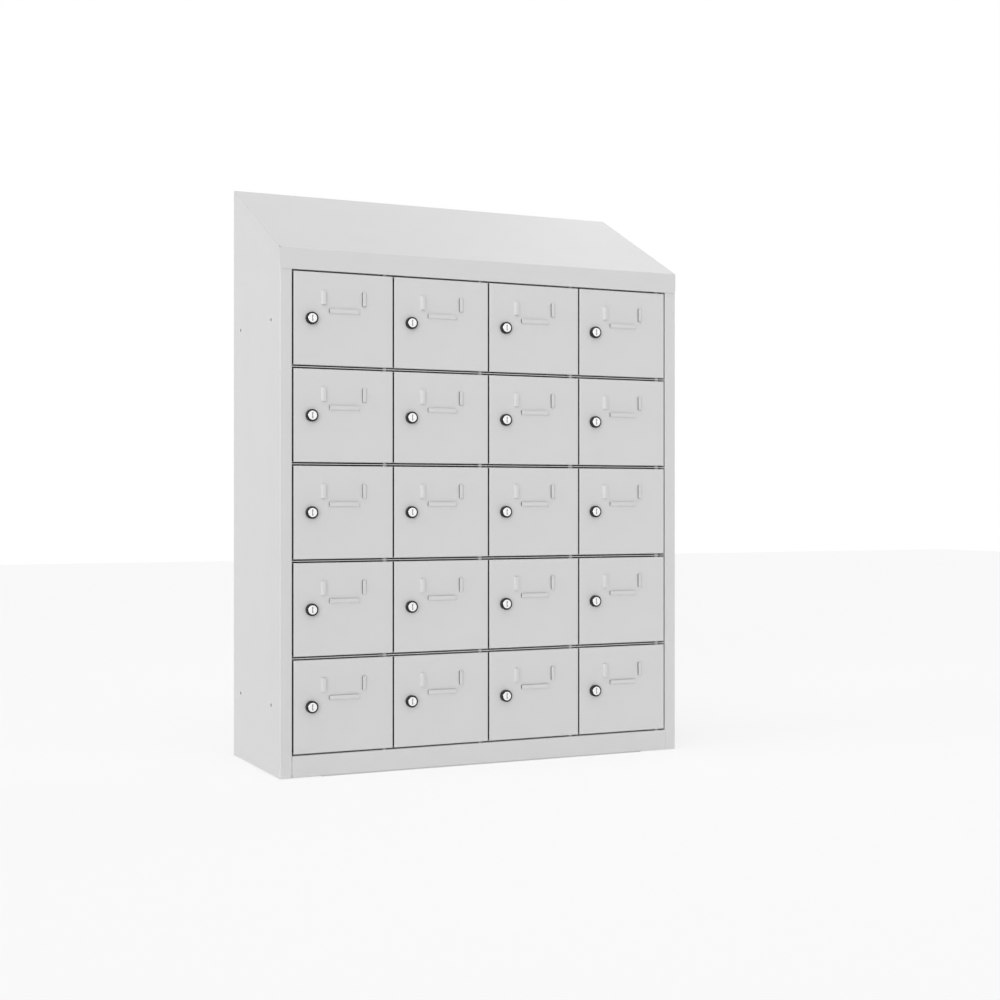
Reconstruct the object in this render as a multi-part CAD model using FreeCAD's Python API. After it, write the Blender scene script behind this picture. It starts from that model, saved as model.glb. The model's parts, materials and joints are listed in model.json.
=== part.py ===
import FreeCAD, Part
import math
import os

from FreeCAD import Vector

# Small-compartment wall locker of folded, powder coated sheet steel, in millimetres.
# X runs to the right as seen from the front, Y from the front to the wall, Z up.
# Origin: middle of the width, on the wall plane, at the underside of the bottom plate.

# Overall sizes
width = 681.2
depth = 250.0               # wall face to the front face of the doors
front_height = 788.4        # foot of the side panels to the fold of the hood
back_height = 915.6         # foot of the side panels to the corner of the hood at the wall
columns = 4
rows = 5

# Sheets
sheet = 1.0                 # carcass panels
door_sheet = 1.0
foot_sheet = 1.2            # bottom plate
bend_radius = 0.6           # inside radius of every fold
fit = 0.2                   # gap between carcass pieces that slot into each other

# Front of the carcass
flange = 19.0               # front flange of a side panel
fascia = 31.6               # front lip of the hood
fascia_corner = 5.0         # rounded lower corners of the lip
corner_hole_radius = 0.85   # opening where the hood's front fold meets a side panel
corner_hole_length = 9.0
corner_hole_run = (0.3, 1.0, 0.17)  # its direction inwards, backwards and up
rail = 32.2                 # bottom rail, folded down from the floor panel
side_gap = 2.4              # between doors side by side, and to the flanges
level_gap = 2.25            # above and below each door

# Inner panels
shelf_setback = 1.0         # shelf edge behind the door faces
shelf_round = 0.4           # rounded front edge of a shelf
hood_rear_flange = 20.0
top_rear_flange = 15.0
hood_room = 7.5             # top panel's front flange below the fold of the hood
base_return = 20.0          # inward folds under the floor panel
plate_inset = 66.0          # bottom plate in from each side
plate_setback = 0.3         # bottom plate behind the door faces

# Fixing holes
join_front = 45.0           # side holes behind the door faces
join_rear = 40.0            # side holes in front of the wall
join_radius = 2.75
wall_hole_radius = 4.5

# Doors
door_depth = 15.0           # folded edges of the door pan
lock_fold = 1.8             # folded edge beside the lock, short so that the gap stays dark
stop_gap = 0.4              # closed door to the strike plate behind it
strike_reach = 15.0         # strike plate from the middle of the gap beside the door

# Card holder: tongues lanced out of the door, measured from its top and centre line
side_tongue_length = 20.9
side_tongue_width = 7.4
side_tongue_offset = 32.8   # middle of a side tongue from the centre line
side_tongue_drop = 27.4     # below the top of the door
lower_tongue_length = 47.0
lower_tongue_width = 8.0
lower_tongue_drop = 54.4
tongue_lift = 2.8           # proud of the door face
tongue_ramp = 2.0           # length of the joggle
lance_gap = 0.05            # cut round the free edges of a tongue

# Hinges
pin_radius = 2.5
pin_inset = 12.0            # pin axis from the right edge of the door
pin_setback = 6.0           # pin axis behind the door face
pin_reach = 3.0             # pin past the folded edge of the door
pin_chamfer = 0.5
pin_head_radius = 4.5
pin_head = 1.5
washer_radius = 3.4
washer_play = 0.2           # between a washer and the door
running_fit = 0.05          # radial, for every pin, plug and thread

# Cam lock
lock_inset = 27.4           # lock axis from the left edge of the door
collar_radius = 9.35
collar_length = 6.5
collar_round = 1.5
thread_radius = 8.0
nut_flats = 20.0
nut_length = 4.0
plug_face_radius = 6.8
plug_face_length = 3.0
plug_face_round = 0.4
plug_radius = 6.0
plug_proud = 0.3            # plug face in front of the collar
end_play = 0.3              # plug and cam along the lock axis
keyway_length = 9.3
keyway_width = 1.8
keyway_depth = 5.0
cam_gap = 0.8               # locked cam behind the strike plate
cam_sheet = 2.0
cam_width = 12.0
cam_hub_radius = 8.0
cam_reach = 22.0            # lock axis to the tip of the cam
cam_corner = 2.5
tenon = 7.0                 # square end of the plug that drives the cam
tenon_short = 0.2           # tenon end below the back of the cam
screw_radius = 2.0
screw_length = 8.0
screw_room = 0.5            # hole past the end of the screw
screw_head_radius = 5.0
screw_head = 3.0
socket_flats = 4.0
socket_depth = 2.0

# Levels and places worked out from the sizes above
half_width = width / 2
front = -depth
foot_level = foot_sheet
fold_level = foot_level + front_height
top_level = foot_level + back_height
floor_level = foot_level + rail
ceiling_level = fold_level - fascia
panel_back = -sheet                         # front face of the back panel
hood_back = panel_back - sheet              # front face of the hood's rear flange
door_room = ceiling_level - floor_level - 2 * rows * level_gap - (rows - 1) * sheet
door_height = door_room / rows
door_width = (width - 2 * flange - (columns + 1) * side_gap) / columns
column_pitch = door_width + side_gap
row_pitch = door_height + 2 * level_gap + sheet
strike_depth = door_depth + stop_gap        # behind the door face
strike_front = front + strike_depth
strike_back = strike_front + sheet
slot_end = (strike_back + panel_back) / 2   # shelves and dividers slot into each other up to here
opening_half = half_width - flange - fit    # shelves, floor and top between the flanges
notch_back = strike_back + fit              # end of their corner notches
washer_thickness = level_gap - washer_play
pin_grip = level_gap + door_sheet + pin_reach
cam_front = strike_depth + sheet + cam_gap  # behind the door face
cam_back = cam_front + cam_sheet
housing_end = cam_front - end_play
plug_face = -collar_length - plug_proud
hood_slope = math.atan2(top_level - fold_level, depth)
hood_bend = (bend_radius + sheet) * math.tan((math.pi / 2 + hood_slope) / 2)
panel_top = top_level - hood_bend           # back panel, up to the rear fold of the hood


def door_left(column):
    """Left edge of the doors in a column, counted from 1 at the left."""
    return -half_width + flange + side_gap + (column - 1) * column_pitch


def door_bottom(row):
    """Lower edge of the doors in a row, counted from 1 at the top."""
    return floor_level + level_gap + (rows - row) * row_pitch


def gap_centre(column):
    """Middle of the gap to the left of a column."""
    return door_left(column) - side_gap / 2


def shelf_top(row):
    """Upper face of the shelf or floor under a row."""
    return door_bottom(row) - level_gap


def hinge_place(column):
    """Hinge axis of a column in X and Y."""
    return door_left(column) + door_width - pin_inset, front + pin_setback


def fixing_levels():
    """Heights of the joining and wall holes: the middles of the lowest and highest doors."""
    return door_bottom(rows) + door_height / 2, door_bottom(1) + door_height / 2


# Plain solids

def box(low, high):
    size = Vector(*high) - Vector(*low)
    return Part.makeBox(size.x, size.y, size.z, Vector(*low))


def rod(radius, start, end):
    start, end = Vector(*start), Vector(*end)
    return Part.makeCylinder(radius, (end - start).Length, start, end - start)


def hexagon(flats, start, end):
    """Hexagonal bar along Y."""
    corner = flats / math.sqrt(3)
    points = []
    for step in range(7):
        turn = math.radians(60 * step)
        points.append(Vector(corner * math.cos(turn), start, corner * math.sin(turn)))
    return Part.Face(Part.makePolygon(points)).extrude(Vector(0, end - start, 0))


def edges_at(shape, axis, level):
    """Edges of a shape that lie wholly in the plane axis = level."""
    found = []
    for edge in shape.Edges:
        ends = (getattr(edge.BoundBox, axis + "Min"), getattr(edge.BoundBox, axis + "Max"))
        if max(abs(end - level) for end in ends) < 1e-4:
            found.append(edge)
    return found


def moved(shape, x, y, z):
    copy = shape.copy()
    copy.translate(Vector(x, y, z))
    return copy


def stood_across(solid):
    """A solid drawn with X for Y, Y for Z and Z for X, turned to its place."""
    solid.rotate(Vector(0, 0, 0), Vector(1, 1, 1), 120)
    return solid


# Folded sheets

def left_of(start, end):
    run = (end - start).normalize()
    return Vector(-run.y, run.x, 0)


def line_to_the_left(points, distance):
    """The folded line at a distance to the left of the line through points."""
    shifted = []
    for index, point in enumerate(points):
        sides = []
        if index > 0:
            sides.append(left_of(points[index - 1], point))
        if index < len(points) - 1:
            sides.append(left_of(point, points[index + 1]))
        shift = sides[0]
        if len(sides) == 2:
            shift = (sides[0] + sides[1]) / (1 + sides[0].dot(sides[1]))
        shifted.append(point + shift * distance)
    return shifted


def rounded_edges(points, left_radius, right_radius):
    """Lines and arcs along points, with one radius for left turns and one for right turns."""
    edges = []
    start = points[0]
    for index in range(1, len(points) - 1):
        corner = points[index]
        before = (corner - points[index - 1]).normalize()
        after = (points[index + 1] - corner).normalize()
        radius = left_radius if before.cross(after).z > 0 else right_radius
        tangent = radius * math.tan(before.getAngle(after) / 2)
        inward = (after - before).normalize()
        arc_start = corner - before * tangent
        arc_middle = corner + inward * (math.hypot(radius, tangent) - radius)
        arc_end = corner + after * tangent
        edges.append(Part.makeLine(start, arc_start))
        edges.append(Part.Arc(arc_start, arc_middle, arc_end).toShape())
        start = arc_end
    edges.append(Part.makeLine(start, points[-1]))
    return edges


def folded_sheet(outline, thickness, start, end):
    """Sheet folded along outline, one of its faces, with its thickness to the left of it.

    The outline lies in the XY plane and the sheet stands from start to end along Z.
    """
    face_line = [Vector(u, v, 0) for u, v in outline]
    other_line = line_to_the_left(face_line, thickness)
    outer_radius = bend_radius + thickness
    edges = rounded_edges(face_line, outer_radius, bend_radius)
    edges += rounded_edges(other_line, bend_radius, outer_radius)
    edges.append(Part.makeLine(face_line[0], other_line[0]))
    edges.append(Part.makeLine(face_line[-1], other_line[-1]))
    profile = Part.Face(Part.Wire(Part.__sortEdges__(edges)))
    profile.translate(Vector(0, 0, start))
    return profile.extrude(Vector(0, 0, end - start))


def sheet_across(outline, half_length):
    """Carcass sheet whose outline is given in Y and Z and that runs along X."""
    return stood_across(folded_sheet(outline, sheet, -half_length, half_length))


# Carcass

def hood_outline():
    """Outer face of the hood: rear flange, slope and front lip."""
    return [
        (panel_back, top_level - hood_rear_flange),
        (panel_back, top_level),
        (front - sheet, fold_level),
        (front - sheet, ceiling_level),
    ]


def hood_sheet():
    """Sloping top with its front lip and the flange inside the back panel."""
    hood = sheet_across(hood_outline(), half_width)
    lip_edges = edges_at(hood, "Z", ceiling_level)
    lip_ends = [edge for edge in lip_edges if edge.BoundBox.XLength < sheet]
    return hood.makeFillet(fascia_corner, lip_ends)


def with_corner_holes(panel):
    """The hood or a side panel with a small opening at each end of the hood's front fold."""
    inwards, back, up = corner_hole_run
    for side in (-1, 1):
        run = Vector(-side * inwards, back, up).normalize()
        fold = Vector(side * half_width, front - sheet, fold_level)
        start = fold + Vector(0, math.cos(hood_slope), math.sin(hood_slope)) * sheet
        panel = panel.cut(rod(corner_hole_radius, start - run * sheet * 3, start + run * corner_hole_length))
    return panel


def make_hood():
    return with_corner_holes(hood_sheet())


def under_hood(panel):
    """A side panel cut off just below the hood, and in front of its rear flange."""
    outer_face = [Vector(y, z, -width) for y, z in hood_outline()]
    foot, corner, fold = line_to_the_left(outer_face, sheet + fit)[:3]
    nose = fold + (fold - corner).normalize() * 3 * sheet
    edges = rounded_edges([foot, corner, nose], bend_radius, bend_radius)
    around = [
        nose,
        Vector(nose.x, 2 * top_level, -width),
        Vector(0, 2 * top_level, -width),
        Vector(0, foot.y, -width),
        foot,
    ]
    edges += Part.makePolygon(around).Edges
    above = Part.Face(Part.Wire(Part.__sortEdges__(edges))).extrude(Vector(0, 0, 2 * width))
    return panel.cut(stood_across(above)).cut(hood_sheet())


def with_joining_holes(panel):
    """Holes through both side panels, where lockers are bolted side by side."""
    for level in fixing_levels():
        for place in (front + join_front, -join_rear):
            panel = panel.cut(rod(join_radius, (-width, place, level), (width, place, level)))
    return panel


def side_outline():
    """Outer face of the left side panel, from its rear edge to the return of its front flange."""
    return [
        (-half_width, panel_back),
        (-half_width, front),
        (-half_width + flange, front),
        (-half_width + flange, strike_back),
    ]


def make_side_panel(outline):
    panel = folded_sheet(outline, sheet, foot_level, top_level)
    return with_joining_holes(with_corner_holes(under_hood(panel)))


def make_left_side_panel():
    return make_side_panel(side_outline())


def make_right_side_panel():
    return make_side_panel([(-x, y) for x, y in reversed(side_outline())])


def make_back_panel():
    panel = box((-half_width, panel_back, 0), (half_width, 0, panel_top))
    for column in (1, columns):
        place = door_left(column) + door_width / 2
        for level in fixing_levels():
            panel = panel.cut(rod(wall_hole_radius, (place, -depth, level), (place, depth, level)))
    return panel


def between_flanges(panel):
    """A level panel cut round the flanges of the side panels, with holes for the hinge pins."""
    for side in (-1, 1):
        near, far = sorted((side * opening_half, side * width))
        panel = panel.cut(box((near, front - sheet, 0), (far, notch_back, top_level)))
    for column in range(1, columns + 1):
        x, y = hinge_place(column)
        panel = panel.cut(rod(pin_radius + running_fit, (x, y, foot_level + 2 * sheet), (x, y, top_level)))
    return panel


def make_top_panel():
    """Ceiling of the top row, welded behind the lip of the hood."""
    outline = [
        (front, fold_level - hood_room),
        (front, ceiling_level),
        (hood_back, ceiling_level),
        (hood_back, ceiling_level + top_rear_flange),
    ]
    return between_flanges(sheet_across(outline, half_width - sheet))


def make_floor_panel():
    """Floor of the bottom row, folded down into the bottom rail and back under it."""
    outline = [
        (panel_back - base_return, foot_level),
        (panel_back, foot_level),
        (panel_back, floor_level),
        (front, floor_level),
        (front, foot_level),
        (front + base_return, foot_level),
    ]
    return between_flanges(sheet_across(outline, half_width - sheet))


def make_bottom_plate():
    side = half_width - plate_inset
    return box((-side, front + plate_setback, 0), (side, panel_back, foot_sheet))


def make_shelf(row):
    """Full-width shelf with a rounded front edge, slotted at the back for the dividers."""
    top = shelf_top(row)
    edge = front + shelf_setback
    half_plate = half_width - sheet
    shelf = between_flanges(box((-half_plate, edge, top - sheet), (half_plate, panel_back, top)))
    nose = [line for line in edges_at(shelf, "Y", edge) if line.BoundBox.XLength > sheet]
    shelf = shelf.makeFillet(shelf_round, nose)
    for column in range(2, columns + 1):
        centre = gap_centre(column)
        low = (centre - sheet / 2 - fit, slot_end - fit, top - 2 * sheet)
        shelf = shelf.cut(box(low, (centre + sheet / 2 + fit, 0, top + sheet)))
    return shelf


def make_divider(column):
    """Upright to the left of a column, slotted at the front for the shelves."""
    left = gap_centre(column) - sheet / 2
    right = left + sheet
    divider = box((left, strike_back, floor_level), (right, panel_back, ceiling_level))
    for row in range(1, rows):
        low = shelf_top(row) - sheet - fit
        divider = divider.cut(box((left, front, low), (right, slot_end, shelf_top(row) + fit)))
    return divider


def make_strike_plates():
    """Plates that the cams close behind, on the dividers and on the left side panel's flange."""
    plates = []
    for column in range(1, columns + 1):
        left = -half_width + flange if column == 1 else gap_centre(column) - sheet / 2
        right = gap_centre(column) + strike_reach
        for row in range(1, rows + 1):
            low = shelf_top(row) + fit
            high = door_bottom(row) + door_height + level_gap - fit
            plates.append(box((left, strike_front, low), (right, strike_back, high)))
    return plates


# Hinges

def through_pin(x, y, top):
    """Pin through a shelf, for the doors above and below it."""
    low = top - sheet - pin_grip
    high = top + pin_grip
    pin = rod(pin_radius, (x, y, low), (x, y, high))
    return pin.makeChamfer(pin_chamfer, edges_at(pin, "Z", low) + edges_at(pin, "Z", high))


def headed_pin(x, y, seat, tip, head_end):
    """Pin with its head on the far side of the floor or top panel."""
    pin = rod(pin_radius, (x, y, seat), (x, y, tip))
    pin = pin.makeChamfer(pin_chamfer, edges_at(pin, "Z", tip))
    return pin.fuse(rod(pin_head_radius, (x, y, seat), (x, y, head_end))).removeSplitter()


def make_hinge_pins():
    pins = []
    for column in range(1, columns + 1):
        x, y = hinge_place(column)
        upper_seat = ceiling_level + sheet
        lower_seat = floor_level - sheet
        pins.append(headed_pin(x, y, upper_seat, ceiling_level - pin_grip, upper_seat + pin_head))
        for row in range(1, rows):
            pins.append(through_pin(x, y, shelf_top(row)))
        pins.append(headed_pin(x, y, lower_seat, floor_level + pin_grip, lower_seat - pin_head))
    return pins


def make_hinge_washers():
    """Spacers on the pins, seated on the shelves, floor and top above and below each door."""
    washers = []
    for column in range(1, columns + 1):
        x, y = hinge_place(column)
        for row in range(1, rows + 1):
            upper = door_bottom(row) + door_height + level_gap - washer_thickness
            for low in (shelf_top(row), upper):
                disc = rod(washer_radius, (x, y, low), (x, y, low + washer_thickness))
                bore = rod(pin_radius + running_fit, (x, y, low), (x, y, low + washer_thickness))
                washers.append(disc.cut(bore))
    return washers


# Doors, drawn with the lower left corner of the front face at the origin

def tongue(length, tongue_width):
    """Lanced tongue with its root along Z at the origin and its free edge towards +X."""
    outline = [(-door_sheet, 0), (0, 0), (tongue_ramp, -tongue_lift), (tongue_width, -tongue_lift)]
    return folded_sheet(outline, door_sheet, 0, length)


def tongue_window(length, tongue_width):
    """Opening that the tongue leaves in the door sheet."""
    return box((0, -door_sheet, -lance_gap), (tongue_width + lance_gap, 2 * door_sheet, length + lance_gap))


def card_holder(shape_of):
    """A shape for each of the three tongues, moved to its place on the door."""
    side_low = door_height - side_tongue_drop - side_tongue_length
    side_root = door_width / 2 - side_tongue_offset - side_tongue_width / 2
    left = moved(shape_of(side_tongue_length, side_tongue_width), side_root, 0, side_low)
    right = left.mirror(Vector(door_width / 2, 0, 0), Vector(1, 0, 0))
    lower = shape_of(lower_tongue_length, lower_tongue_width)
    lower.rotate(Vector(0, 0, 0), Vector(0, 1, 0), -90)
    lower_root = door_height - lower_tongue_drop - lower_tongue_width
    return left, right, moved(lower, (door_width + lower_tongue_length) / 2, 0, lower_root)


def door_pan():
    """Pan folded from one sheet, with card holder, lock hole and pivot holes."""
    outer = box((0, 0, 0), (door_width, door_depth, door_height))
    outer = outer.makeFillet(bend_radius + door_sheet, edges_at(outer, "Y", 0))
    inside_low = (door_sheet, door_sheet, door_sheet)
    inside = box(inside_low, (door_width - door_sheet, 2 * door_depth, door_height - door_sheet))
    inside = inside.makeFillet(bend_radius, edges_at(inside, "Y", door_sheet))
    pan = outer.cut(inside)
    pan = pan.cut(box((-door_sheet, lock_fold, door_sheet),
                      (door_sheet, 2 * door_depth, door_height - door_sheet)))
    for window in card_holder(tongue_window):
        pan = pan.cut(window)
    for lifted in card_holder(tongue):
        pan = pan.fuse(lifted)
    lock_level = door_height / 2
    pan = pan.cut(rod(thread_radius + running_fit, (lock_inset, -door_depth, lock_level),
                      (lock_inset, door_depth, lock_level)))
    pivot = door_width - pin_inset
    pan = pan.cut(rod(pin_radius + running_fit, (pivot, pin_setback, -door_sheet),
                      (pivot, pin_setback, door_height + door_sheet)))
    return pan.removeSplitter()


# Cam lock, drawn with its axis along Y through the origin and the door face at Y = 0

def lock_housing():
    """Collar on the door face and the threaded barrel behind it."""
    collar = rod(collar_radius, (0, -collar_length, 0), (0, 0, 0))
    collar = collar.makeFillet(collar_round, edges_at(collar, "Y", -collar_length))
    housing = collar.fuse(rod(thread_radius, (0, 0, 0), (0, housing_end, 0)))
    seat = plug_face_length - collar_length + end_play
    housing = housing.cut(rod(plug_face_radius + running_fit, (0, 2 * plug_face, 0), (0, seat, 0)))
    return housing.cut(rod(plug_radius + running_fit, (0, plug_face, 0), (0, 2 * housing_end, 0)))


def lock_nut():
    nut_end = door_sheet + nut_length
    nut = hexagon(nut_flats, door_sheet, nut_end)
    return nut.cut(rod(thread_radius + running_fit, (0, 0, 0), (0, 2 * nut_end, 0)))


def lock_plug():
    """Plug with its face, keyway, square tenon and screw hole."""
    face = rod(plug_face_radius, (0, plug_face, 0), (0, plug_face_length - collar_length, 0))
    face = face.makeFillet(plug_face_round, edges_at(face, "Y", plug_face))
    half_tenon = tenon / 2
    plug = face.fuse(rod(plug_radius, (0, plug_face_length - collar_length, 0), (0, cam_front, 0)))
    plug = plug.fuse(box((-half_tenon, cam_front, -half_tenon),
                         (half_tenon, cam_back - tenon_short, half_tenon)))
    plug = plug.cut(box((-keyway_width / 2, 2 * plug_face, -keyway_length / 2),
                        (keyway_width / 2, plug_face + keyway_depth, keyway_length / 2)))
    hole_end = cam_back - screw_length - screw_room
    return plug.cut(rod(screw_radius + running_fit, (0, hole_end, 0), (0, cam_back, 0)))


def lock_cam():
    """Flat cam that hangs down when the lock is open."""
    blade = box((-cam_width / 2, cam_front, -cam_reach), (cam_width / 2, cam_back, 0))
    tip_edges = [edge for edge in edges_at(blade, "Z", -cam_reach) if edge.BoundBox.XLength < cam_sheet]
    blade = blade.makeFillet(cam_corner, tip_edges)
    cam = blade.fuse(rod(cam_hub_radius, (0, cam_front, 0), (0, cam_back, 0)))
    half_hole = tenon / 2 + running_fit
    return cam.cut(box((-half_hole, 0, -half_hole), (half_hole, 2 * cam_back, half_hole))).removeSplitter()


def cam_screw():
    head_end = cam_back + screw_head
    screw = rod(screw_head_radius, (0, cam_back, 0), (0, head_end, 0))
    screw = screw.fuse(rod(screw_radius, (0, cam_back - screw_length, 0), (0, cam_back, 0)))
    return screw.cut(hexagon(socket_flats, head_end - socket_depth, head_end))


# Assembly

def write(name, solids):
    """One file per named piece; a piece of several solids keeps them apart."""
    shape = solids[0] if len(solids) == 1 else Part.makeCompound(solids)
    shape.exportStep(os.path.join("parts", name + ".step"))


def write_doors():
    """Each door with its lock housing and nut, and each turning lock on its own."""
    lock_level = door_height / 2
    fixed = [door_pan()]
    fixed += [moved(solid, lock_inset, 0, lock_level) for solid in (lock_housing(), lock_nut())]
    turning = [moved(solid, lock_inset, 0, lock_level) for solid in (lock_plug(), lock_cam(), cam_screw())]
    for row in range(1, rows + 1):
        for column in range(1, columns + 1):
            place = (door_left(column), front, door_bottom(row))
            name = f"row{row}_col{column}"
            write("door_" + name, [moved(solid, *place) for solid in fixed])
            write("lock_" + name, [moved(solid, *place) for solid in turning])


os.makedirs("parts", exist_ok=True)
write("left_side_panel", [make_left_side_panel()])
write("right_side_panel", [make_right_side_panel()])
write("back_panel", [make_back_panel()])
write("hood", [make_hood()])
write("top_panel", [make_top_panel()])
write("floor_panel", [make_floor_panel()])
write("bottom_plate", [make_bottom_plate()])
for shelf_row in range(1, rows):
    write(f"shelf_{shelf_row}", [make_shelf(shelf_row)])
for divider_column in range(2, columns + 1):
    write(f"divider_{divider_column - 1}", [make_divider(divider_column)])
write("strike_plates", make_strike_plates())
write("hinge_pins", make_hinge_pins())
write("hinge_washers", make_hinge_washers())
write_doors()
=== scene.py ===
import json
import math

import bmesh
import bpy
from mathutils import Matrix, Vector

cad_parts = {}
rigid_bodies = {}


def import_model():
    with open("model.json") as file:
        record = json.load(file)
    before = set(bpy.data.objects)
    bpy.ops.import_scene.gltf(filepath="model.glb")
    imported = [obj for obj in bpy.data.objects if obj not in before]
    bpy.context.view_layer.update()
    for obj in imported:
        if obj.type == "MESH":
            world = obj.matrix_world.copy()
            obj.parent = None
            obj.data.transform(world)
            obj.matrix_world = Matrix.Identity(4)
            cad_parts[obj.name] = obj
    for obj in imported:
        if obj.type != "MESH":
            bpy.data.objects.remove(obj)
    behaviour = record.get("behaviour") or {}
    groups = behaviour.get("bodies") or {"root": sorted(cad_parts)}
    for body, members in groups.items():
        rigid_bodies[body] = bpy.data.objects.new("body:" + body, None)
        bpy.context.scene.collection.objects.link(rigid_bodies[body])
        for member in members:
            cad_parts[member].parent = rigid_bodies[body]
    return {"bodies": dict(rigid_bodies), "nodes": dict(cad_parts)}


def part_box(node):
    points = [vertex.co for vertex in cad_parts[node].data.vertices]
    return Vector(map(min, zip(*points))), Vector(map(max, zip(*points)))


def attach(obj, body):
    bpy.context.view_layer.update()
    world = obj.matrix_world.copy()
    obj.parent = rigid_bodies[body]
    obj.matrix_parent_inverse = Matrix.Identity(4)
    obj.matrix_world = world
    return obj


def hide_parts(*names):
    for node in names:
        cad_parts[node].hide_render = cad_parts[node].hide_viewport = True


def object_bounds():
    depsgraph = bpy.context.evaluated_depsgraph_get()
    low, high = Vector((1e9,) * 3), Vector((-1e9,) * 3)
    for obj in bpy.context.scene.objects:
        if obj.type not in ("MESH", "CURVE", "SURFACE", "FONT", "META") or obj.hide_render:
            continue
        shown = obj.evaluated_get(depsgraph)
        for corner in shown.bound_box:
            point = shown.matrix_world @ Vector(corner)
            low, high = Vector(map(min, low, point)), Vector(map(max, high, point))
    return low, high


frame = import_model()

# Wall locker of powder coated sheet steel: twenty small doors with cam locks under a sloping hood.
# Lengths are in metres, in the frame of the construction model: X to the right, Y to the wall, Z up.

MM = 0.001
CAD_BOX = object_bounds()

# Places read from the construction model
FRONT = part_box("left_side_panel")[0].y
DOOR_LOW, DOOR_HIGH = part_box("door_row1_col1")
DOOR_WIDTH = DOOR_HIGH.x - DOOR_LOW.x
DOOR_HEIGHT = DOOR_HIGH.z - DOOR_LOW.z

# Door pan
DOOR_SHEET = 1.0 * MM
DOOR_DEPTH = 15.0 * MM
LOCK_FOLD = 1.8 * MM
BEND_INSIDE = 0.6 * MM
BEND_OUTSIDE = BEND_INSIDE + DOOR_SHEET
BEND_STEPS = 5
PIVOT_RADIUS = 2.55 * MM
PIVOT_INSET = 12.0 * MM
PIVOT_SETBACK = 6.0 * MM

# Card holder tongues, measured from the top and the centre line of the door
SIDE_TONGUE_LENGTH = 20.9 * MM
SIDE_TONGUE_WIDTH = 7.4 * MM
SIDE_TONGUE_OFFSET = 32.8 * MM
SIDE_TONGUE_DROP = 27.4 * MM
LOWER_TONGUE_LENGTH = 47.0 * MM
LOWER_TONGUE_WIDTH = 8.0 * MM
LOWER_TONGUE_DROP = 54.4 * MM
TONGUE_LIFT = 2.8 * MM
TONGUE_RAMP = 2.0 * MM
LANCE_GAP = 0.05 * MM

# Cam lock: places along its axis are behind the door face
LOCK_INSET = 27.4 * MM
COLLAR_RADIUS = 9.35 * MM
COLLAR_LENGTH = 6.5 * MM
COLLAR_ROUND = 1.5 * MM
THREAD_RADIUS = 8.0 * MM
THREAD_PITCH = 1.0 * MM
THREAD_CUT = 0.5 * MM
RUNNING_FIT = 0.05 * MM
NUT_FLATS = 20.0 * MM
NUT_LENGTH = 4.0 * MM
NUT_CHAMFER = 0.8 * MM
PLUG_FACE_RADIUS = 6.8 * MM
PLUG_FACE_LENGTH = 3.0 * MM
PLUG_FACE_ROUND = 0.4 * MM
PLUG_RADIUS = 6.0 * MM
PLUG_PROUD = 0.3 * MM
END_PLAY = 0.3 * MM
KEYWAY_LENGTH = 9.3 * MM
KEYWAY_WIDTH = 1.8 * MM
KEYWAY_DEPTH = 5.0 * MM
KEYWAY_WARD = 0.6 * MM
KEYWAY_WARD_SHARE = 0.16
SHUTTER_SETBACK = 0.45 * MM
SHUTTER_SHEET = 1.0 * MM
CAM_FRONT = 17.2 * MM
CAM_SHEET = 2.0 * MM
CAM_BACK = CAM_FRONT + CAM_SHEET
CAM_WIDTH = 12.0 * MM
CAM_HUB_RADIUS = 8.0 * MM
CAM_REACH = 22.0 * MM
CAM_CORNER = 2.5 * MM
TENON = 7.0 * MM
TENON_SHORT = 0.2 * MM
SCREW_RADIUS = 2.0 * MM
SCREW_LENGTH = 8.0 * MM
SCREW_ROOM = 0.5 * MM
SCREW_HEAD_RADIUS = 5.0 * MM
SCREW_HEAD = 3.0 * MM
SCREW_HEAD_ROUND = 1.0 * MM
SOCKET_FLATS = 4.0 * MM
SOCKET_DEPTH = 2.0 * MM
ROUND_STEPS = 64
SMALL_ROUND_STEPS = 32
COLLAR_ROUND_STEPS = 6
PLUG_ROUND_STEPS = 3
HEAD_ROUND_STEPS = 4
# A multiple of six, so that every corner and flat of the nut is drawn alike
NUT_STEPS = 120
SHARP_ANGLE = math.radians(32)

# Studio levels, and the camera fitted to the photograph
ROOM_LIGHT = 0.55
FLOOR_GLOW = 0.7
FLOOR_HALF_WIDTH = 8.0
CAMERA_PLACE = (-1.0411, -2.5142, 0.4144)
CAMERA_HEADING = (0.4241, 0.9056, 0.0)
CAMERA_VIEW = math.radians(35.0)


# Mesh building

def flat_loop(bm, outline, depth):
    """Vertices of an outline of (x, z) points, at a depth behind the door face."""
    return [bm.verts.new((x, depth, z)) for x, z in outline]


def circle(radius, count, centre=(0, 0)):
    """Points of a circle as an outline."""
    turns = [2 * math.pi * step / count for step in range(count)]
    return [(centre[0] + radius * math.cos(turn), centre[1] + radius * math.sin(turn)) for turn in turns]


def walls(bm, first, second, smooth=True, skip=()):
    """Four-sided faces between two closed loops; skip names the edges of the loop to leave open."""
    for index in range(len(first)):
        if index in skip:
            continue
        after = (index + 1) % len(first)
        face = bm.faces.new((first[index], first[after], second[after], second[index]))
        face.smooth = smooth


def filled(bm, *loops):
    """Flat faces inside the first loop and outside the others."""
    edges = []
    for loop in loops:
        for index, vertex in enumerate(loop):
            pair = (loop[index - 1], vertex)
            edges.append(bm.edges.get(pair) or bm.edges.new(pair))
    made = bmesh.ops.triangle_fill(bm, use_beauty=True, edges=edges)
    for face in made["geom"]:
        if isinstance(face, bmesh.types.BMFace):
            face.smooth = False


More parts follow.
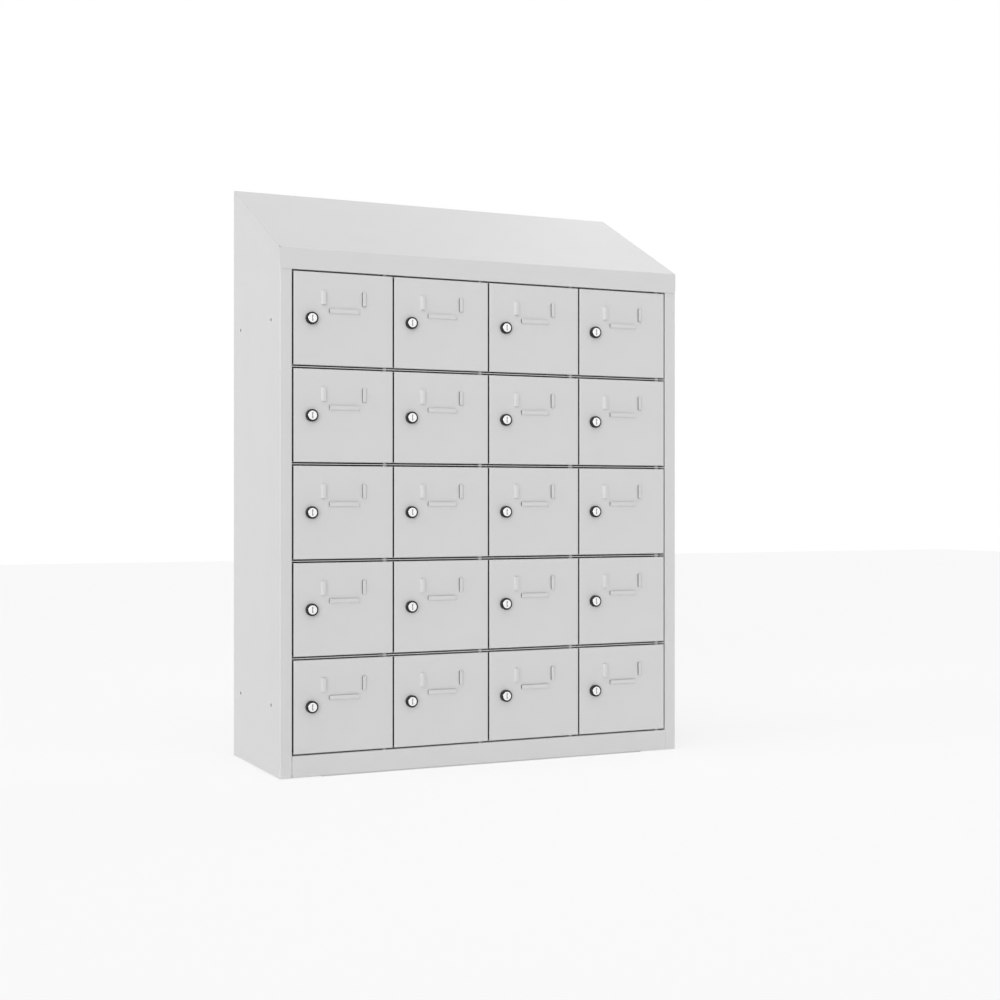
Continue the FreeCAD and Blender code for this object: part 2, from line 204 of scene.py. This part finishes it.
def turned(bm, profile, count):
    """Loops of a turned shape about the Y axis, from (radius, depth) points, joined by walls."""
    loops = [flat_loop(bm, circle(radius, count), depth) for radius, depth in profile]
    for first, second in zip(loops, loops[1:]):
        walls(bm, first, second)
    return loops


def quarter_round(radius, depth, size, steps, front):
    """Profile points that round the front or back outer edge of a turned shape."""
    points = []
    for step in range(steps + 1):
        turn = math.pi / 2 * step / steps
        lean = size * math.sin(turn) if front else size * math.cos(turn)
        rise = size * math.cos(turn) if front else size * math.sin(turn)
        offset = size - rise
        points.append((radius - size + lean, depth + offset if front else depth - offset))
    return points


def finished(name, bm, material):
    """The mesh with outward normals, sharp edges where it folds sharply, and its material."""
    bmesh.ops.recalc_face_normals(bm, faces=bm.faces)
    for edge in bm.edges:
        edge.smooth = edge.calc_face_angle(0) < SHARP_ANGLE
    mesh = bpy.data.meshes.new(name)
    bm.to_mesh(mesh)
    bm.free()
    mesh.materials.append(material)
    return mesh


# Materials

def linear(colour):
    """A hex sRGB colour as linear RGBA."""
    channels = [int(colour[index:index + 2], 16) / 255 for index in (1, 3, 5)]
    return [c / 12.92 if c <= 0.04045 else ((c + 0.055) / 1.055) ** 2.4 for c in channels] + [1.0]


def add_node(tree, kind, inputs=None, **settings):
    """Adds a node with its settings; each input is a value, or an output socket to link from."""
    node = tree.nodes.new(kind)
    for name, value in settings.items():
        setattr(node, name, value)
    for socket, value in (inputs or {}).items():
        if isinstance(value, bpy.types.NodeSocket):
            tree.links.new(value, node.inputs[socket])
        else:
            node.inputs[socket].default_value = value
    return node


def new_material(name):
    material = bpy.data.materials.new(name)
    material.use_nodes = True
    material.node_tree.nodes.clear()
    return material, material.node_tree


def powder_coat():
    """Polyester powder baked on steel: an even satin grey with the faint orange peel of flowed powder."""
    cloud_width = 60 * MM
    peel_width = 1.8 * MM
    peel_height = 0.02 * MM
    material, tree = new_material("powder_coated_steel")
    place = add_node(tree, "ShaderNodeTexCoord").outputs["Object"]
    cloud = add_node(tree, "ShaderNodeTexNoise", {"Vector": place, "Scale": 1 / cloud_width, "Detail": 3})
    colour = add_node(tree, "ShaderNodeMix",
                      {0: cloud.outputs["Fac"], 6: linear("#CFCFCF"), 7: linear("#D3D3D3")},
                      data_type="RGBA")
    peel = add_node(tree, "ShaderNodeTexNoise", {"Vector": place, "Scale": 1 / peel_width, "Detail": 2})
    roughness = add_node(tree, "ShaderNodeMapRange",
                         {"Value": peel.outputs["Fac"], "To Min": 0.42, "To Max": 0.50})
    bump = add_node(tree, "ShaderNodeBump",
                    {"Height": peel.outputs["Fac"], "Strength": 0.5, "Distance": peel_height})
    surface = add_node(tree, "ShaderNodeBsdfPrincipled",
                       {"Base Color": colour.outputs[2], "Roughness": roughness.outputs["Result"],
                        "Normal": bump.outputs["Normal"], "IOR": 1.5})
    add_node(tree, "ShaderNodeOutputMaterial", {"Surface": surface.outputs["BSDF"]})
    return material


def black_coat():
    """Zinc die casting with a baked black enamel: deep, satin, slightly uneven where it flowed. On the
    strike plates the same black is painted shade behind the door gaps.
    """
    flow_width = 2.5 * MM
    flow_height = 0.03 * MM
    material, tree = new_material("black_enamel_and_painted_shade")
    place = add_node(tree, "ShaderNodeTexCoord").outputs["Object"]
    flow = add_node(tree, "ShaderNodeTexNoise", {"Vector": place, "Scale": 1 / flow_width, "Detail": 2})
    colour = add_node(tree, "ShaderNodeMix",
                      {0: flow.outputs["Fac"], 6: linear("#0B0B0B"), 7: linear("#121212")},
                      data_type="RGBA")
    roughness = add_node(tree, "ShaderNodeMapRange",
                         {"Value": flow.outputs["Fac"], "To Min": 0.28, "To Max": 0.40})
    bump = add_node(tree, "ShaderNodeBump",
                    {"Height": flow.outputs["Fac"], "Strength": 0.5, "Distance": flow_height})
    surface = add_node(tree, "ShaderNodeBsdfPrincipled",
                       {"Base Color": colour.outputs[2], "Roughness": roughness.outputs["Result"],
                        "Normal": bump.outputs["Normal"], "IOR": 1.4})
    add_node(tree, "ShaderNodeOutputMaterial", {"Surface": surface.outputs["BSDF"]})
    return material


def plug_nickel():
    """Brass turned on a lathe, plated with bright nickel: mirror-like, with fine rings left by the tool."""
    # Real turning marks are near 0.1 mm apart; these are drawn coarser so that they show
    ring_spacing = 0.35 * MM
    ring_height = 0.004 * MM
    cloud_width = 4 * MM
    rings_per_scale = 20 / (2 * math.pi)
    material, tree = new_material("nickel_plated_brass")
    place = add_node(tree, "ShaderNodeTexCoord").outputs["Object"]
    rings = add_node(tree, "ShaderNodeTexWave",
                     {"Vector": place, "Scale": 1 / (ring_spacing * rings_per_scale), "Distortion": 0.6},
                     wave_type="RINGS", rings_direction="Y")
    cloud = add_node(tree, "ShaderNodeTexNoise", {"Vector": place, "Scale": 1 / cloud_width, "Detail": 2})
    colour = add_node(tree, "ShaderNodeMix",
                      {0: cloud.outputs["Fac"], 6: linear("#F5F5F4"), 7: linear("#FBFBFA")},
                      data_type="RGBA")
    roughness = add_node(tree, "ShaderNodeMapRange",
                         {"Value": rings.outputs["Fac"], "To Min": 0.16, "To Max": 0.24})
    bump = add_node(tree, "ShaderNodeBump",
                    {"Height": rings.outputs["Fac"], "Strength": 0.4, "Distance": ring_height})
    surface = add_node(tree, "ShaderNodeBsdfPrincipled",
                       {"Base Color": colour.outputs[2], "Roughness": roughness.outputs["Result"],
                        "Normal": bump.outputs["Normal"], "Metallic": 1.0})
    add_node(tree, "ShaderNodeOutputMaterial", {"Surface": surface.outputs["BSDF"]})
    return material


def zinc_steel():
    """Pressed steel with a bright zinc plating: grey, half matt, faintly clouded by the plating bath."""
    cloud_width = 3.0 * MM
    grain_width = 0.5 * MM
    grain_height = 0.006 * MM
    material, tree = new_material("zinc_plated_steel")
    place = add_node(tree, "ShaderNodeTexCoord").outputs["Object"]
    cloud = add_node(tree, "ShaderNodeTexNoise", {"Vector": place, "Scale": 1 / cloud_width, "Detail": 4})
    grain = add_node(tree, "ShaderNodeTexNoise", {"Vector": place, "Scale": 1 / grain_width, "Detail": 2})
    colour = add_node(tree, "ShaderNodeMix",
                      {0: cloud.outputs["Fac"], 6: linear("#B4B8BA"), 7: linear("#D0D3D4")},
                      data_type="RGBA")
    roughness = add_node(tree, "ShaderNodeMapRange",
                         {"Value": cloud.outputs["Fac"], "To Min": 0.26, "To Max": 0.42})
    bump = add_node(tree, "ShaderNodeBump",
                    {"Height": grain.outputs["Fac"], "Strength": 0.4, "Distance": grain_height})
    surface = add_node(tree, "ShaderNodeBsdfPrincipled",
                       {"Base Color": colour.outputs[2], "Roughness": roughness.outputs["Result"],
                        "Normal": bump.outputs["Normal"], "Metallic": 1.0})
    add_node(tree, "ShaderNodeOutputMaterial", {"Surface": surface.outputs["BSDF"]})
    return material


def keyway_steel_and_painted_shade():
    """Thin spring steel, matt grey, with a fine crystalline grain. Its dark grey is partly the steel's own
    tone and partly painted shade for the depth of the keyway.
    """
    # Real crystals are far finer; these are drawn coarser so that they show
    grain_width = 0.4 * MM
    grain_height = 0.01 * MM
    material, tree = new_material("keyway_steel_and_painted_shade")
    place = add_node(tree, "ShaderNodeTexCoord").outputs["Object"]
    grain = add_node(tree, "ShaderNodeTexNoise", {"Vector": place, "Scale": 1 / grain_width, "Detail": 2})
    colour = add_node(tree, "ShaderNodeMix",
                      {0: grain.outputs["Fac"], 6: linear("#878786"), 7: linear("#939391")},
                      data_type="RGBA")
    roughness = add_node(tree, "ShaderNodeMapRange",
                         {"Value": grain.outputs["Fac"], "To Min": 0.55, "To Max": 0.68})
    bump = add_node(tree, "ShaderNodeBump",
                    {"Height": grain.outputs["Fac"], "Strength": 0.4, "Distance": grain_height})
    surface = add_node(tree, "ShaderNodeBsdfPrincipled",
                       {"Base Color": colour.outputs[2], "Roughness": roughness.outputs["Result"],
                        "Normal": bump.outputs["Normal"], "IOR": 1.45})
    add_node(tree, "ShaderNodeOutputMaterial", {"Surface": surface.outputs["BSDF"]})
    return material


def washer_nylon():
    """Moulded grey nylon: waxy, half matt, with a soft moulding texture. Its grey is partly the nylon's own
    and partly painted shade for the hinge pivots, which sit in shade.
    """
    grain_width = 0.8 * MM
    grain_height = 0.02 * MM
    material, tree = new_material("grey_nylon_and_painted_shade")
    place = add_node(tree, "ShaderNodeTexCoord").outputs["Object"]
    grain = add_node(tree, "ShaderNodeTexNoise", {"Vector": place, "Scale": 1 / grain_width, "Detail": 2})
    colour = add_node(tree, "ShaderNodeMix",
                      {0: grain.outputs["Fac"], 6: linear("#979795"), 7: linear("#A0A09D")},
                      data_type="RGBA")
    roughness = add_node(tree, "ShaderNodeMapRange",
                         {"Value": grain.outputs["Fac"], "To Min": 0.45, "To Max": 0.58})
    bump = add_node(tree, "ShaderNodeBump",
                    {"Height": grain.outputs["Fac"], "Strength": 0.4, "Distance": grain_height})
    surface = add_node(tree, "ShaderNodeBsdfPrincipled",
                       {"Base Color": colour.outputs[2], "Roughness": roughness.outputs["Result"],
                        "Normal": bump.outputs["Normal"], "IOR": 1.53})
    add_node(tree, "ShaderNodeOutputMaterial", {"Surface": surface.outputs["BSDF"]})
    return material


# Door pan, drawn with the lower left corner of its front face at the origin

def pan_loop(bm, inset, depth):
    right, top = DOOR_WIDTH - inset, DOOR_HEIGHT - inset
    return flat_loop(bm, [(inset, inset), (right, inset), (right, top), (inset, top)], depth)


def bend_loops(bm, radius):
    """Loops round the bend of the pan, from the folded edges to the face."""
    loops = []
    for step in range(BEND_STEPS + 1):
        turn = math.pi / 2 * step / BEND_STEPS
        inset = BEND_OUTSIDE - radius * math.cos(turn)
        depth = BEND_OUTSIDE - radius * math.sin(turn)
        loops.append(pan_loop(bm, inset, depth))
    return loops


def pivot_loop(bm, level):
    centre = (DOOR_WIDTH - PIVOT_INSET, PIVOT_SETBACK)
    return [bm.verts.new((x, y, level)) for x, y in circle(PIVOT_RADIUS, SMALL_ROUND_STEPS, centre)]


def folded_edges(bm, outer_bend, inner_bend):
    """Four folded edges: a short one beside the lock, and pivot holes in the lower and upper ones."""
    right, top = DOOR_WIDTH - DOOR_SHEET, DOOR_HEIGHT - DOOR_SHEET
    rim = pan_loop(bm, 0, DOOR_DEPTH)
    inner_rim = flat_loop(bm, [(0, DOOR_SHEET), (right, DOOR_SHEET), (right, top), (0, top)], DOOR_DEPTH)
    walls(bm, rim, inner_rim, smooth=False, skip=(3,))
    short_outline = [(0, DOOR_SHEET), (DOOR_SHEET, DOOR_SHEET), (DOOR_SHEET, top), (0, top)]
    short_rim = flat_loop(bm, short_outline, LOCK_FOLD)
    filled(bm, short_rim)
    pivots = []
    for outside, inside in ((0, DOOR_SHEET), (DOOR_HEIGHT, top)):
        pivots.append([pivot_loop(bm, outside), pivot_loop(bm, inside)])
        walls(bm, *pivots[-1])
    low_pivot, high_pivot = pivots
    filled(bm, [rim[0], rim[1], outer_bend[1], outer_bend[0]], low_pivot[0])
    filled(bm, [rim[1], rim[2], outer_bend[2], outer_bend[1]])
    filled(bm, [rim[2], rim[3], outer_bend[3], outer_bend[2]], high_pivot[0])
    filled(bm, [rim[3], inner_rim[3], short_rim[3], short_rim[0],
                inner_rim[0], rim[0], outer_bend[0], outer_bend[3]])
    filled(bm, [inner_rim[0], inner_rim[1], inner_bend[1], inner_bend[0], short_rim[1], short_rim[0]],
           low_pivot[1])
    filled(bm, [inner_rim[1], inner_rim[2], inner_bend[2], inner_bend[1]])
    filled(bm, [inner_rim[2], inner_rim[3], short_rim[3], short_rim[2], inner_bend[3], inner_bend[2]],
           high_pivot[1])
    filled(bm, [short_rim[1], short_rim[2], inner_bend[3], inner_bend[0]])


def tongue_profile(width):
    """Front and back points across a tongue, from its root to its free edge, as (across, depth)."""
    lean = math.atan2(TONGUE_LIFT, TONGUE_RAMP)
    half = math.tan(lean / 2)
    steps = [lean * step / BEND_STEPS for step in range(BEND_STEPS + 1)]
    first_end = BEND_INSIDE * half
    second_start = first_end + TONGUE_RAMP + BEND_OUTSIDE * half
    points = []
    for turn in steps:
        across = BEND_INSIDE * math.sin(turn)
        points.append((across, BEND_INSIDE * (math.cos(turn) - 1), turn))
    for turn in reversed(steps):
        across = second_start - BEND_OUTSIDE * math.sin(turn)
        points.append((across, BEND_OUTSIDE * (1 - math.cos(turn)) - TONGUE_LIFT, turn))
    points.append((width, -TONGUE_LIFT, 0))
    front = [(across, depth) for across, depth, turn in points]
    back = [(across + DOOR_SHEET * math.sin(turn), depth + DOOR_SHEET * math.cos(turn))
            for across, depth, turn in points]
    return front, back


def tongue_places():
    """Root corner, direction across, direction along, length and width of each tongue."""
    side_low = DOOR_HEIGHT - SIDE_TONGUE_DROP - SIDE_TONGUE_LENGTH
    side_root = DOOR_WIDTH / 2 - SIDE_TONGUE_OFFSET - SIDE_TONGUE_WIDTH / 2
    lower_root = DOOR_HEIGHT - LOWER_TONGUE_DROP - LOWER_TONGUE_WIDTH
    lower_left = (DOOR_WIDTH - LOWER_TONGUE_LENGTH) / 2
    right, left, up = Vector((1, 0, 0)), Vector((-1, 0, 0)), Vector((0, 0, 1))
    return [
        (Vector((side_root, 0, side_low)), right, up, SIDE_TONGUE_LENGTH, SIDE_TONGUE_WIDTH),
        (Vector((DOOR_WIDTH - side_root, 0, side_low)), left, up, SIDE_TONGUE_LENGTH, SIDE_TONGUE_WIDTH),
        (Vector((lower_left, 0, lower_root)), up, right, LOWER_TONGUE_LENGTH, LOWER_TONGUE_WIDTH),
    ]


def lanced_tongue(bm, root, across, along, length, width):
    """A tongue pressed out of the sheet; returns the loops of its window on both sides of the sheet."""
    outline = [(0, -LANCE_GAP), (0, 0), (0, length), (0, length + LANCE_GAP),
               (width + LANCE_GAP, length + LANCE_GAP), (width + LANCE_GAP, -LANCE_GAP)]
    window = []
    for depth in (0, DOOR_SHEET):
        back = Vector((0, depth, 0))
        window.append([bm.verts.new(root + across * u + along * v + back) for u, v in outline])
    walls(bm, window[0], window[1], smooth=False, skip=(1,))
    strips = []
    for points, loop in zip(tongue_profile(width), window):
        strip = [(loop[1], loop[2])]
        for u, depth in points[1:]:
            start = root + across * u + Vector((0, depth, 0))
            strip.append((bm.verts.new(start), bm.verts.new(start + along * length)))
        strips.append(strip)
    front, back = strips
    for index in range(len(front) - 1):
        for strip in strips:
            here, there = strip[index], strip[index + 1]
            bm.faces.new((here[0], here[1], there[1], there[0])).smooth = True
        for end in (0, 1):
            corners = (front[index][end], front[index + 1][end], back[index + 1][end], back[index][end])
            bm.faces.new(corners).smooth = False
    bm.faces.new((front[-1][0], front[-1][1], back[-1][1], back[-1][0])).smooth = False
    return window


def door_pan(material):
    """Pan folded from one sheet, with card holder tongues, lock hole and pivot holes."""
    bm = bmesh.new()
    bends = [bend_loops(bm, BEND_OUTSIDE), bend_loops(bm, BEND_INSIDE)]
    folded_edges(bm, bends[0][0], bends[1][0])
    lock_centre = (LOCK_INSET, DOOR_HEIGHT / 2)
    lock_outline = circle(THREAD_RADIUS + RUNNING_FIT, ROUND_STEPS, lock_centre)
    lock_hole = [flat_loop(bm, lock_outline, depth) for depth in (0, DOOR_SHEET)]
    walls(bm, lock_hole[0], lock_hole[1])
    windows = [lanced_tongue(bm, *place) for place in tongue_places()]
    for side in (0, 1):
        for first, second in zip(bends[side], bends[side][1:]):
            walls(bm, first, second)
        filled(bm, bends[side][-1], lock_hole[side], *[window[side] for window in windows])
    return finished("door_pan", bm, material)


# Cam lock, drawn about its axis along Y with the door face at Y = 0

def lock_housing(material):
    """Collar on the door face and the threaded barrel behind it."""
    housing_end = CAM_FRONT - END_PLAY
    face_seat = PLUG_FACE_RADIUS + RUNNING_FIT
    plug_seat = PLUG_RADIUS + RUNNING_FIT
    seat_depth = PLUG_FACE_LENGTH - COLLAR_LENGTH + END_PLAY
    lip = 0.25 * MM
    profile = [(plug_seat, housing_end), (plug_seat, seat_depth), (face_seat, seat_depth),
               (face_seat, lip - COLLAR_LENGTH), (face_seat + lip, -COLLAR_LENGTH)]
    profile += quarter_round(COLLAR_RADIUS, -COLLAR_LENGTH, COLLAR_ROUND, COLLAR_ROUND_STEPS, front=True)
    profile += [(COLLAR_RADIUS, 0), (THREAD_RADIUS, 0), (THREAD_RADIUS, DOOR_SHEET)]
    depth = DOOR_SHEET + THREAD_PITCH / 2
    while depth + THREAD_PITCH < housing_end:
        profile += [(THREAD_RADIUS - THREAD_CUT, depth), (THREAD_RADIUS, depth + THREAD_PITCH / 2)]
        depth += THREAD_PITCH
    profile += [(THREAD_RADIUS - THREAD_CUT, housing_end)]
    bm = bmesh.new()
    loops = turned(bm, profile, ROUND_STEPS)
    walls(bm, loops[-1], loops[0], smooth=False)
    return finished("lock_housing", bm, material)


def lock_nut(material):
    """Hexagon nut with its corners chamfered on both faces."""
    flat = NUT_FLATS / 2
    corner = flat / math.cos(math.pi / 6)
    bm = bmesh.new()
    loops = []
    start, end = DOOR_SHEET, DOOR_SHEET + NUT_LENGTH
    levels = [(start, 0), (start + NUT_CHAMFER / 2, 0.5), (start + NUT_CHAMFER, 1)]
    levels += [(end - NUT_CHAMFER, 1), (end - NUT_CHAMFER / 2, 0.5), (end, 0)]
    for depth, share in levels:
        cone = flat + (corner - flat) * share
        outline = []
        for step in range(NUT_STEPS):
            turn = 2 * math.pi * step / NUT_STEPS
            across = (turn + math.pi / 6) % (math.pi / 3) - math.pi / 6
            radius = min(flat / math.cos(across), cone)
            outline.append((radius * math.sin(turn), radius * math.cos(turn)))
        loops.append(flat_loop(bm, outline, depth))
    for first, second in zip(loops, loops[1:]):
        walls(bm, first, second)
    bore_radius = THREAD_RADIUS + RUNNING_FIT
    bore = turned(bm, [(bore_radius, start), (bore_radius, end)], ROUND_STEPS)
    filled(bm, loops[0], bore[0])
    filled(bm, loops[-1], bore[-1])
    return finished("lock_nut", bm, material)


def keyway_outline(clearance=0):
    """Upright slot with a ward on its right side, drawn smaller by a clearance all round."""
    half_length, half_width = KEYWAY_LENGTH / 2 - clearance, KEYWAY_WIDTH / 2 - clearance
    ward = KEYWAY_WARD_SHARE * KEYWAY_LENGTH + clearance
    inner = half_width - KEYWAY_WARD
    return [(-half_width, -half_length), (half_width, -half_length), (half_width, -ward), (inner, -ward),
            (inner, ward), (half_width, ward), (half_width, half_length), (-half_width, half_length)]


def square_outline(side):
    half = side / 2
    return [(-half, -half), (half, -half), (half, half), (-half, half)]


def lock_plug(material):
    """Plug with its face, keyway, square tenon and screw hole."""
    face = -COLLAR_LENGTH - PLUG_PROUD
    shoulder = PLUG_FACE_LENGTH - COLLAR_LENGTH
    tenon_end = CAM_BACK - TENON_SHORT
    hole_end = CAM_BACK - SCREW_LENGTH - SCREW_ROOM
    bm = bmesh.new()
    profile = quarter_round(PLUG_FACE_RADIUS, face, PLUG_FACE_ROUND, PLUG_ROUND_STEPS, front=True)
    profile += [(PLUG_FACE_RADIUS, shoulder), (PLUG_RADIUS, shoulder), (PLUG_RADIUS, CAM_FRONT)]
    loops = turned(bm, profile, ROUND_STEPS)
    keyway = [flat_loop(bm, keyway_outline(), depth) for depth in (face, face + KEYWAY_DEPTH)]
    walls(bm, keyway[0], keyway[1], smooth=False)
    filled(bm, loops[0], keyway[0])
    filled(bm, keyway[1])
    tenon = [flat_loop(bm, square_outline(TENON), depth) for depth in (CAM_FRONT, tenon_end)]
    walls(bm, tenon[0], tenon[1], smooth=False)
    filled(bm, loops[-1], tenon[0])
    hole_radius = SCREW_RADIUS + RUNNING_FIT
    hole = turned(bm, [(hole_radius, tenon_end), (hole_radius, hole_end)], SMALL_ROUND_STEPS)
    filled(bm, tenon[1], hole[0])
    filled(bm, hole[1])
    return finished("lock_plug", bm, material)


def lock_shutter(material):
    """Dust shutter that closes the keyway just behind the face of the plug. It stands for the wafers inside
    the lock, and its dark grey is partly painted shade for the depth of the keyway.
    """
    front = SHUTTER_SETBACK - COLLAR_LENGTH - PLUG_PROUD
    bm = bmesh.new()
    outline = keyway_outline(RUNNING_FIT)
    faces = [flat_loop(bm, outline, depth) for depth in (front, front + SHUTTER_SHEET)]
    walls(bm, faces[0], faces[1], smooth=False)
    filled(bm, faces[0])
    filled(bm, faces[1])
    return finished("lock_shutter", bm, material)


def cam_outline():
    """Round hub with a blade that hangs down from it."""
    half = CAM_WIDTH / 2
    start = -math.acos(half / CAM_HUB_RADIUS)
    sweep = math.pi - 2 * start
    points = []
    for step in range(ROUND_STEPS + 1):
        turn = start + sweep * step / ROUND_STEPS
        points.append((CAM_HUB_RADIUS * math.cos(turn), CAM_HUB_RADIUS * math.sin(turn)))
    for side in (-1, 1):
        for step in range(BEND_STEPS + 1):
            turn = math.pi / 2 * (step if side < 0 else BEND_STEPS - step) / BEND_STEPS
            x = half - CAM_CORNER + CAM_CORNER * math.cos(turn)
            points.append((side * x, CAM_CORNER - CAM_REACH - CAM_CORNER * math.sin(turn)))
    return points


def lock_cam(material):
    """Flat cam with a square hole, stamped from sheet, its edges just broken."""
    broken = 0.2 * MM
    bm = bmesh.new()
    loops = [flat_loop(bm, cam_outline(), depth) for depth in (CAM_FRONT, CAM_BACK)]
    walls(bm, loops[0], loops[1])
    hole_side = TENON + 2 * RUNNING_FIT
    hole = [flat_loop(bm, square_outline(hole_side), depth) for depth in (CAM_FRONT, CAM_BACK)]
    walls(bm, hole[0], hole[1], smooth=False)
    for side in (0, 1):
        filled(bm, loops[side], hole[side])
    rim_edges = []
    for loop in loops:
        rim_edges += [bm.edges.get((loop[index - 1], vertex)) for index, vertex in enumerate(loop)]
    bmesh.ops.bevel(bm, geom=rim_edges, offset=broken, segments=2, affect="EDGES", profile=0.5)
    return finished("lock_cam", bm, material)


def cam_screw(material):
    """Screw with a rounded head and a hexagon socket."""
    head_end = CAM_BACK + SCREW_HEAD
    bm = bmesh.new()
    profile = [(SCREW_RADIUS, CAM_BACK - SCREW_LENGTH), (SCREW_RADIUS, CAM_BACK),
               (SCREW_HEAD_RADIUS, CAM_BACK)]
    profile += quarter_round(SCREW_HEAD_RADIUS, head_end, SCREW_HEAD_ROUND, HEAD_ROUND_STEPS, front=False)
    loops = turned(bm, profile, SMALL_ROUND_STEPS)
    filled(bm, loops[0])
    hexagon = circle(SOCKET_FLATS / math.sqrt(3), 6)
    socket = [flat_loop(bm, hexagon, depth) for depth in (head_end, head_end - SOCKET_DEPTH)]
    walls(bm, socket[0], socket[1], smooth=False)
    filled(bm, loops[-1], socket[0])
    filled(bm, socket[1])
    return finished("cam_screw", bm, material)


# Assembly

def place_piece(name, mesh, location, body, node):
    """Adds a piece that moves with a body and stands for one of its nodes."""
    piece = bpy.data.objects.new(name, mesh)
    bpy.context.scene.collection.objects.link(piece)
    piece.location = location
    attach(piece, body)
    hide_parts(node)


coat = powder_coat()
black = black_coat()
nickel = plug_nickel()
zinc = zinc_steel()
# Dull dark grey of the keyway shutter, partly painted shade for the depth of the keyway
keyway_grey_and_shade = keyway_steel_and_painted_shade()
# The washers' grey is partly painted shade for the hinge pivots
nylon = washer_nylon()

# The strike plates take the black coat as painted shade, so that the gaps round the doors read dark.
FINISHES = {"hinge_pins": zinc, "hinge_washers": nylon, "strike_plates": black}
for node_name, node in frame["nodes"].items():
    for material_slot in node.material_slots:
        material_slot.material = FINISHES.get(node_name, coat)

DOOR_PIECES = [("door_pan", door_pan(coat), "grey_coat")]
HOUSING_PIECES = [
    ("lock_housing", lock_housing(black), "black_coat"),
    ("lock_nut", lock_nut(zinc), "zinc_steel"),
]
TURNING_PIECES = [
    ("lock_plug", lock_plug(nickel), "lock_metal"),
    ("lock_shutter", lock_shutter(keyway_grey_and_shade), "zinc_steel"),
    ("lock_cam", lock_cam(zinc), "zinc_steel"),
    ("cam_screw", cam_screw(zinc), "zinc_steel"),
]

for body in frame["bodies"]:
    if not body.startswith("door_"):
        continue
    place = body.removeprefix("door_")
    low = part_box(body)[0]
    corner = Vector((low.x, FRONT, low.z))
    axis = corner + Vector((LOCK_INSET, 0, DOOR_HEIGHT / 2))
    for kind, mesh, slot in DOOR_PIECES:
        place_piece(f"{kind}_{place}", mesh, corner, body, body)
    for kind, mesh, slot in HOUSING_PIECES:
        place_piece(f"{kind}_{place}", mesh, axis, body, body)
    for kind, mesh, slot in TURNING_PIECES:
        place_piece(f"{kind}_{place}", mesh, axis, "lock_" + place, "lock_" + place)


# Studio: pale floor, even white surroundings, soft lamps from the left, the front left and above

def seen_directly(tree):
    """1 for rays that show the surroundings to the camera or in a reflection, 0 for lighting rays."""
    path = add_node(tree, "ShaderNodeLightPath").outputs
    shown = add_node(tree, "ShaderNodeMath", {0: path["Is Camera Ray"], 1: path["Is Glossy Ray"]},
                     operation="MAXIMUM")
    return add_node(tree, "ShaderNodeMath", {0: shown.outputs[0], 1: path["Is Transmission Ray"]},
                    operation="MAXIMUM").outputs[0]


def make_world():
    world = bpy.data.worlds.new("white_surroundings")
    world.use_nodes = True
    tree = world.node_tree
    tree.nodes.clear()
    white = linear("#FFFFFF")
    light = add_node(tree, "ShaderNodeBackground", {"Color": white, "Strength": ROOM_LIGHT})
    shown = add_node(tree, "ShaderNodeBackground", {"Color": white, "Strength": 1.0})
    mixed = add_node(tree, "ShaderNodeMixShader",
                     {0: seen_directly(tree), 1: light.outputs[0], 2: shown.outputs[0]})
    add_node(tree, "ShaderNodeOutputWorld", {"Surface": mixed.outputs[0]})
    bpy.context.scene.world = world


def make_floor():
    """Pale floor under the locker that keeps its soft shadow."""
    half = FLOOR_HALF_WIDTH
    bm = bmesh.new()
    level = CAD_BOX[0].z
    corners = [(-half, -half), (half, -half), (half, half), (-half, half)]
    bm.faces.new([bm.verts.new((x, y, level)) for x, y in corners])
    material, tree = new_material("pale_floor")
    plain = add_node(tree, "ShaderNodeBsdfDiffuse", {"Color": linear("#FAFAFA")})
    glow = add_node(tree, "ShaderNodeEmission", {"Color": linear("#FFFFFF"), "Strength": 1.0})
    share = add_node(tree, "ShaderNodeMath", {0: seen_directly(tree), 1: FLOOR_GLOW}, operation="MULTIPLY")
    mixed = add_node(tree, "ShaderNodeMixShader",
                     {0: share.outputs[0], 1: plain.outputs[0], 2: glow.outputs[0]})
    add_node(tree, "ShaderNodeOutputMaterial", {"Surface": mixed.outputs[0]})
    floor = bpy.data.objects.new("floor", finished("floor", bm, material))
    bpy.context.scene.collection.objects.link(floor)


def add_lamp(name, kind, location, target, energy, **settings):
    lamp = bpy.data.lights.new(name, kind)
    lamp.energy = energy
    for setting, value in settings.items():
        setattr(lamp, setting, value)
    holder = bpy.data.objects.new(name, lamp)
    holder.location = location
    holder.rotation_mode = "QUATERNION"
    holder.rotation_quaternion = (Vector(target) - Vector(location)).to_track_quat("-Z", "Y")
    bpy.context.scene.collection.objects.link(holder)


def make_camera():
    """Level camera to the left of the locker, at the height of its middle."""
    camera = bpy.data.cameras.new("camera")
    camera.sensor_width = 36.0
    camera.angle = CAMERA_VIEW
    camera.clip_start = 0.1
    camera.clip_end = 50.0
    holder = bpy.data.objects.new("camera", camera)
    holder.location = CAMERA_PLACE
    holder.rotation_mode = "QUATERNION"
    holder.rotation_quaternion = Vector(CAMERA_HEADING).to_track_quat("-Z", "Y")
    bpy.context.scene.collection.objects.link(holder)
    bpy.context.scene.camera = holder


make_world()
make_floor()
add_lamp("left_lamp", "SUN", (-3.0, -0.15, 1.5), (0, 0, 0), 0.48, angle=math.radians(40))
add_lamp("front_lamp", "SUN", (-2.4, -3.0, 0.15), (0, 0, 0), 1.49, angle=math.radians(45))
add_lamp("top_lamp", "SUN", (-0.4, -1.05, 3.0), (0, 0, 0), 0.6, angle=math.radians(60))
add_lamp("hood_lamp", "AREA", (0.9, 0.35, 2.0), (0.3, -0.1, 0.85), 2.2, shape="SQUARE", size=0.8)
make_camera()
bpy.context.scene.view_settings.view_transform = "Standard"
